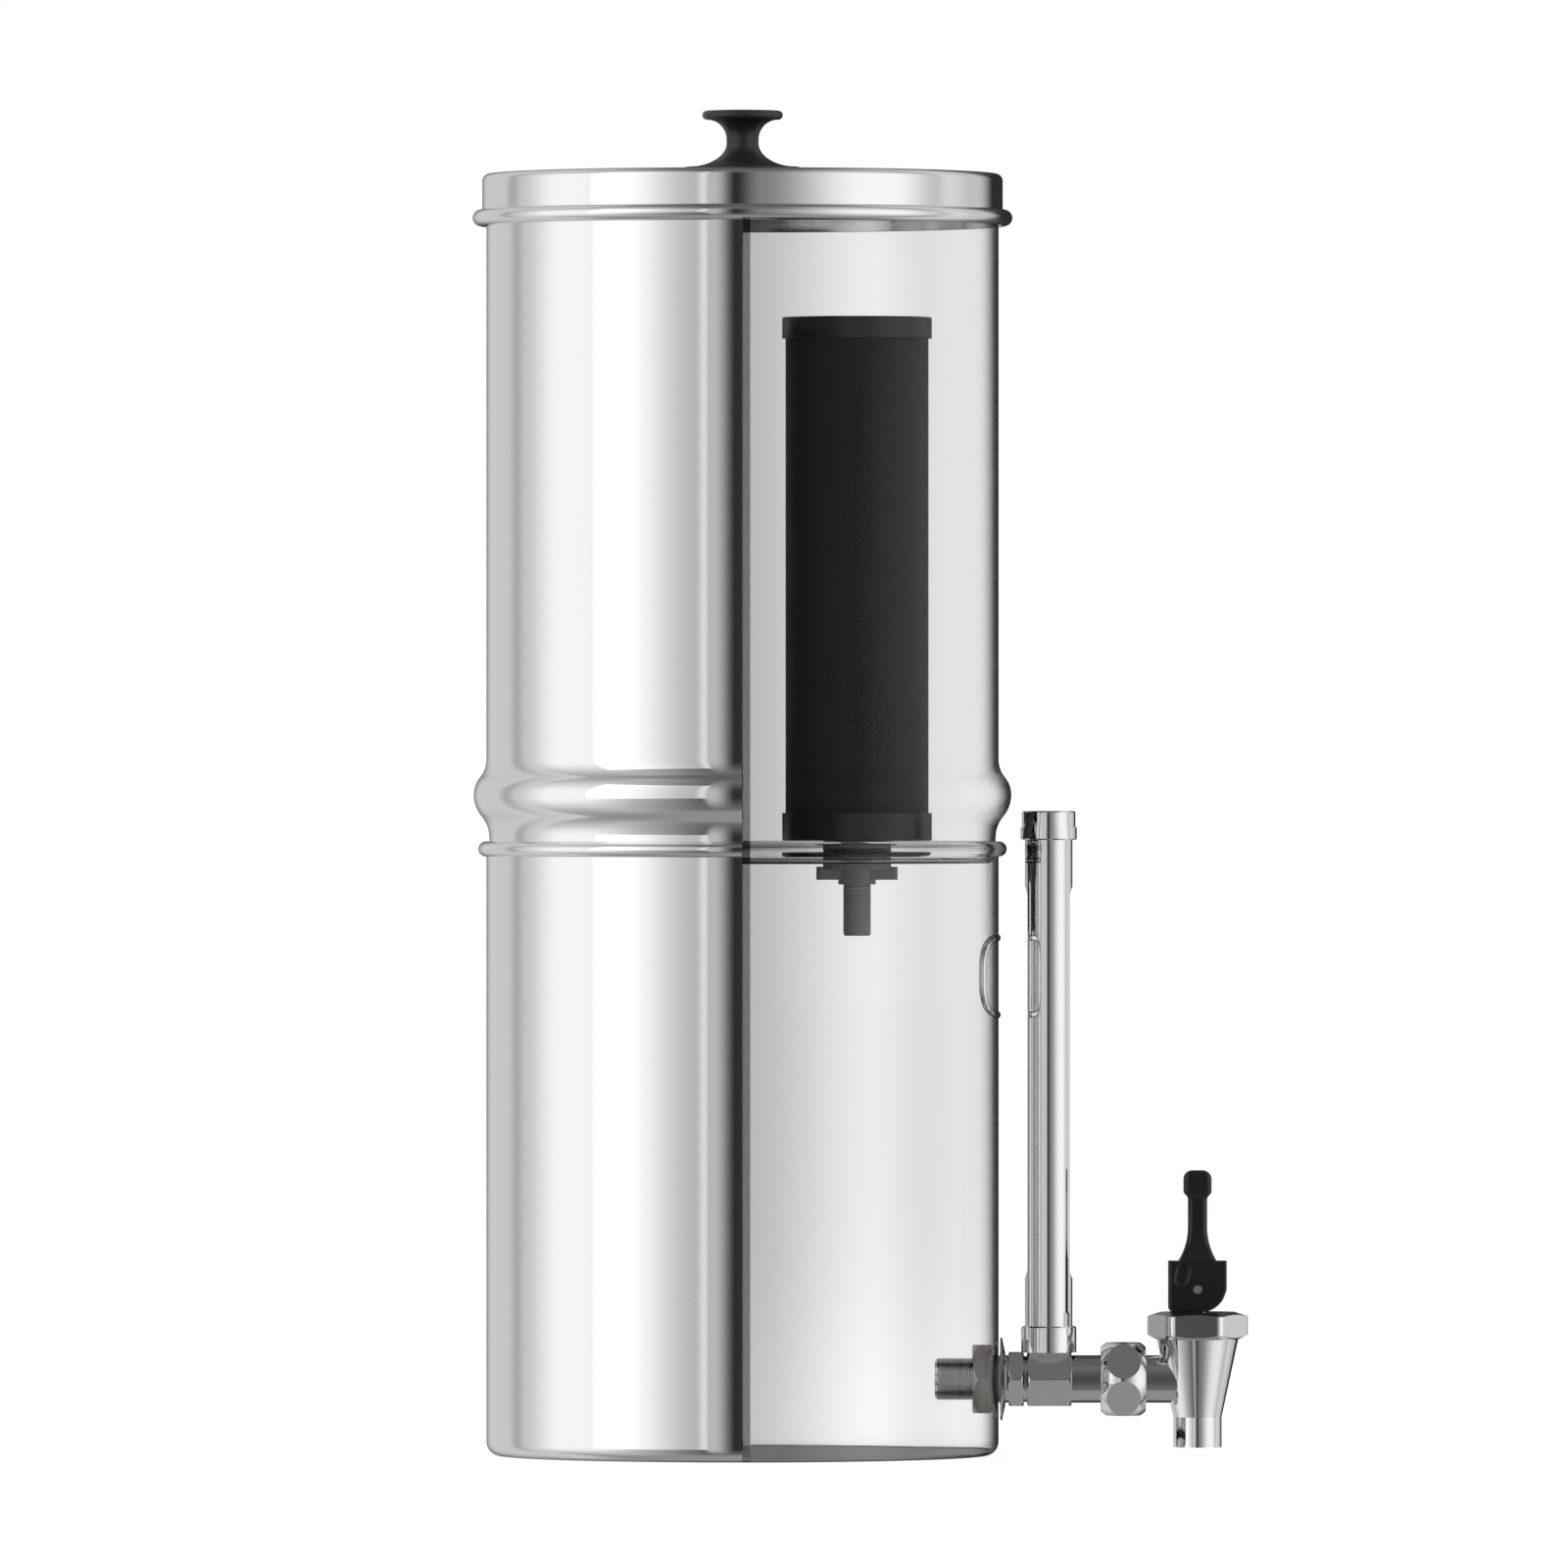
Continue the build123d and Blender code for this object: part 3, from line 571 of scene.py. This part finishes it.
# the inner face of a sheet: every point of the outer face moved square to it
def innerFace(path, sheet):
    inner = []
    for i, (r, z) in enumerate(path):
        before, after = path[max(i - 1, 0)], path[min(i + 1, len(path) - 1)]
        dr, dz = after[0] - before[0], after[1] - before[1]
        length = sqrt(dr * dr + dz * dz)
        inner.append((max(r - sheet * dz / length, 0), z + sheet * dr / length))
    return inner


# points up a wall, without the first
def climb(radius, low, high, steps):
    return [(radius, low + (high - low) * i / steps) for i in range(1, steps + 1)]


# where a line up at some radius meets a bead: its height over the bead's centre, and the angle
def meetBead(bead, centre, radius):
    height = sqrt(bead ** 2 - (centre - radius) ** 2)
    return height, degrees(atan((centre - radius) / height))


chamber = {
    "radius": 111.2 * mm, "sheet": 1.0 * mm, "steps": 256, "wallSteps": 12, "bendSteps": 12,
    # lower chamber
    "corner": 6.0 * mm, "cornerSteps": 10, "floorShares": (0, 0.3, 0.6, 0.85),
    "rimHeight": 263.2 * mm, "rimBead": 3.3 * mm, "rimCentre": 111.4 * mm, "rimSteps": 28,
    "spigotHeight": 33.1 * mm, "spigotHole": 9.2 * mm, "spigotDepth": 20 * mm,
    # upper chamber
    "upperBase": 257.0 * mm, "baseShares": (0, 0.4, 0.8), "footBaseRadius": 109.4 * mm,
    "footCorner": 3.0 * mm, "footSteps": 8, "footRadius": 109.9 * mm, "footTop": 268.0 * mm,
    "crestRadius": 116.7 * mm, "crestHeight": 286.7 * mm, "wallStart": 302.0 * mm,
    "hemHeight": 553.7 * mm, "hemBead": 1.4 * mm, "hemInnerSteps": 6,
    "stemPlace": 49.7 * mm, "stemHole": 6.2 * mm, "stemDepth": 6 * mm,
    # where both are cut, and how far the floor plate stands above the floor's sheet
    "seam": 3.3 * mm, "gap": 0.02 * mm, "plateSkin": 0.2 * mm,
}


def lowerOutline():
    c = chamber
    radius, corner = c["radius"], c["corner"]
    outer = [(share * radius, 0) for share in c["floorShares"]]
    outer += arc((radius - corner, corner), corner, -90, 0, c["cornerSteps"])
    drop, first = meetBead(c["rimBead"], c["rimCentre"], radius)
    outer += climb(radius, corner, c["rimHeight"] - drop, c["wallSteps"])
    inner = innerFace(outer, c["sheet"])
    last = meetBead(c["rimBead"], c["rimCentre"], radius - c["sheet"])[1]
    centre = (c["rimCentre"], c["rimHeight"])
    rim = arc(centre, c["rimBead"], -90 - first, 90 + last, c["rimSteps"])
    return outer + rim[1:] + inner[::-1]


def upperOutline():
    c = chamber
    base, corner, radius = c["upperBase"], c["footCorner"], c["radius"]
    crest = (c["crestRadius"], c["crestHeight"])
    outer = [(share * radius, base) for share in c["baseShares"]]
    outer += arc((c["footBaseRadius"] - corner, base + corner), corner, -90, 0, c["footSteps"])
    outer += wave((c["footRadius"], c["footTop"]), crest, c["bendSteps"])
    outer += wave(crest, (radius, c["wallStart"]), c["bendSteps"])[1:]
    outer += climb(radius, c["wallStart"], c["hemHeight"], c["wallSteps"])
    inner = innerFace(outer, c["sheet"])
    hem = c["hemBead"]
    small = hem - c["sheet"] / 2            # the curl's way back up to the inner face
    curl = arc((radius - hem, c["hemHeight"]), hem, 0, 180, c["bendSteps"])
    middle = (radius - 2 * hem + small, c["hemHeight"])
    curl += arc(middle, small, 180, 360, c["hemInnerSteps"])[1:]
    return outer + curl[1:-1] + inner[::-1]


# a chamber cut across X into steel, a narrow darker strip and a clear wall
def makeChamber(name, outline, body, node, holes, floor=None):
    whole = lathe(name + "SteelWall", outline, chamber["steps"])
    for hole in holes:
        drill(whole, *hole)
    seam, gap = chamber["seam"], chamber["gap"]
    strip = copyPiece(whole, name + "SeamStrip")
    clear = copyPiece(whole, name + "ClearWall")
    keepSlice(whole, None, 0)
    keepSlice(strip, gap, seam)
    keepSlice(clear, seam + gap, None)
    pieces = [(whole, polishedSteel), (strip, seamSteel), (clear, clearWall)]
    if floor:                               # the plate under the clear wall stays steel
        plate = copyPiece(clear, name + "FloorPlate")
        keepSlice(plate, None, floor, axis=(0, 0, 1))
        keepSlice(clear, floor + gap, None, axis=(0, 0, 1))
        pieces.append((plate, polishedSteel))
    for piece, finish in pieces:
        smooth(piece)
        fit(piece, finish, body, "polished_steel", node)


def makeChambers():
    c = chamber
    spigot = ((c["radius"], 0, c["spigotHeight"]), c["spigotHole"], c["spigotDepth"], True)
    stems = []
    for side in (-1, 1):
        stems.append(((side * c["stemPlace"], 0, c["upperBase"]), c["stemHole"], c["stemDepth"]))
    floor = c["sheet"] + c["plateSkin"]
    makeChamber("lower", lowerOutline(), "lower_unit", "lower_chamber", [spigot], floor)
    makeChamber("upper", upperOutline(), "upper_unit", "upper_chamber", stems)


makeChambers()
print("chambers made")

lid = {
    "top": 556.2 * mm, "radius": 113.0 * mm, "sheet": 0.8 * mm, "hole": 2.45 * mm,
    "topSteps": 4, "steps": 256, "corner": 3.0 * mm, "cornerSteps": (12, 8),
    "bead": 3.5 * mm, "beadCentre": 113.7 * mm, "beadHeight": 537.1 * mm, "beadSteps": 28,
    "flareHeight": 537.4 * mm, "flare": 0.3 * mm, "hemPlay": 0.02 * mm,
}


def makeLid():
    top, radius, corner, sheet = lid["top"], lid["radius"], lid["corner"], lid["sheet"]
    bead, middle, height = lid["bead"], lid["beadCentre"], lid["beadHeight"]
    hole, count = lid["hole"], lid["topSteps"]
    outerSteps, innerSteps = lid["cornerSteps"]
    inside = radius - sheet
    mouth = inside + lid["flare"]
    turnIn = (radius - corner, top - corner)
    flat = [(hole + (radius - corner - hole) * i / count, top) for i in range(count)]
    outer = flat + arc(turnIn, corner, 90, 0, outerSteps)
    first = meetBead(bead, middle, radius)[1]
    last = meetBead(bead, middle, mouth)[1]
    outer += arc((middle, height), bead, 90 + first, -90 - last, lid["beadSteps"])
    under = [(inside, lid["flareHeight"])] + arc(turnIn, corner - sheet, 0, 90, innerSteps)
    under += [(r, top - sheet) for r, z in flat[::-1]]
    piece = lathe("lidShell", outer + under + outer[:1], lid["steps"])
    smooth(piece)
    fit(piece, polishedSteel, "lid_unit", "polished_steel", "lid")
    piece.data.materials.append(paintedBrightHemSteel)
    for face in piece.data.polygons:        # the hem inside the bead, in a paler steel painted brighter to stand in for the light it catches
        x, y, z = face.center
        within = sqrt(x * x + y * y) < mouth + lid["hemPlay"]
        face.material_index = 1 if within and z < lid["flareHeight"] else 0


makeLid()
print("lid made")

# the bare oval that stands out from the lower chamber's front
oval = {
    "height": 207.9 * mm, "halfWidth": 38.2 * mm, "halfHeight": 16.7 * mm, "points": 144,
    "square": 3.5, "halfBand": 1.4 * mm, "bandSteps": 5, "proud": 0.9 * mm,
}


def makeOval():
    bpy.ops.object.select_all(action="DESELECT")
    bpy.ops.mesh.primitive_circle_add(
        vertices=oval["points"], radius=1, location=(0, 0, 0), rotation=(0, radians(90), 0)
    )
    ring = bpy.context.object
    ring.name = "ovalBead"
    bpy.ops.object.transform_apply(location=True, rotation=True, scale=True)
    radius = chamber["radius"]
    for vertex in ring.data.vertices:       # squared off and laid on the wall's curve
        y, z = [copysign(abs(v) ** (2 / oval["square"]), v) for v in (vertex.co.y, vertex.co.z)]
        y, z = y * oval["halfWidth"], z * oval["halfHeight"] + oval["height"]
        vertex.co = (sqrt(radius ** 2 - y ** 2), y, z)
    pick(ring)
    bpy.ops.object.convert(target="CURVE")
    ring.data.bevel_depth = oval["halfBand"]
    ring.data.bevel_resolution = oval["bandSteps"]
    ring.data.use_fill_caps = False
    bpy.ops.object.convert(target="MESH")
    flat = oval["proud"] / oval["halfBand"]
    for vertex in ring.data.vertices:       # flattened towards the wall
        reach = sqrt(vertex.co.x ** 2 + vertex.co.y ** 2)
        share = (radius + (reach - radius) * flat) / reach
        vertex.co.x, vertex.co.y = vertex.co.x * share, vertex.co.y * share
    edit(ring)
    close()
    smooth(ring, angle=60)
    fit(ring, polishedSteel, "lower_unit", "polished_steel")


makeOval()
print("oval bead made")


# a ridge with two flanks and a keel inside its core, wound round Z, its ends closed
def windThread(name, thread, place, turnY=0, steps=48):
    root, crest = thread["root"], thread["root"] + thread["depth"]
    pitch, width = thread["pitch"], thread["width"]
    ridge = [(root, 0), (crest, width / 2), (root, width), (root - thread["depth"] / 2, width / 2)]
    piece = drawLine(name, ridge + ridge[:1])
    bpy.ops.mesh.remove_doubles(threshold=0.001 * mm)
    leave()
    applyLast(
        piece, "SCREW", screw_offset=pitch, iterations=thread["turns"], steps=steps,
        render_steps=steps, axis="Z", use_merge_vertices=False,
    )
    edit(piece)
    bpy.ops.mesh.select_all(action="DESELECT")
    bpy.ops.mesh.select_non_manifold()
    bpy.ops.mesh.fill_holes(sides=0)
    close()
    pick(piece)
    piece.location = place
    piece.rotation_euler = (0, turnY, 0)
    bpy.ops.object.transform_apply(location=True, rotation=True, scale=True)
    smooth(piece, angle=20)
    return piece


shankThread = {
    "root": 8.85 * mm, "depth": 0.45 * mm, "width": 0.7 * mm, "pitch": 1.15 * mm, "turns": 13,
    "start": 84.9 * mm,
}
stemThread = {
    "root": 5.85 * mm, "depth": 0.2 * mm, "width": 1.8 * mm, "pitch": 1.8 * mm, "turns": 11,
    "start": 226.2 * mm,
}


def makeThreads():
    place = (shankThread["start"], 0, chamber["spigotHeight"])
    shank = windThread("shankThread", shankThread, place, radians(90))
    fit(shank, threadSteel, "lower_unit", "chrome")
    for side, sign in (("front", 1), ("rear", -1)):
        place = (sign * chamber["stemPlace"], 0, stemThread["start"])
        stem = windThread(side + "StemThread", stemThread, place)
        fit(stem, stemGrey, "upper_unit", "cap_black")


makeThreads()
print("threads wound")


# the return spring, which closes up as the stem lifts
def makeSpring():
    piece = copyPiece(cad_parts["return_spring"], "returnSpring")
    edit(piece)
    close()
    smooth(piece, angle=40)
    fit(piece, turnedSteel, "lower_unit", "steel_parts", "return_spring")
    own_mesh(piece)


makeSpring()
print("spring made")
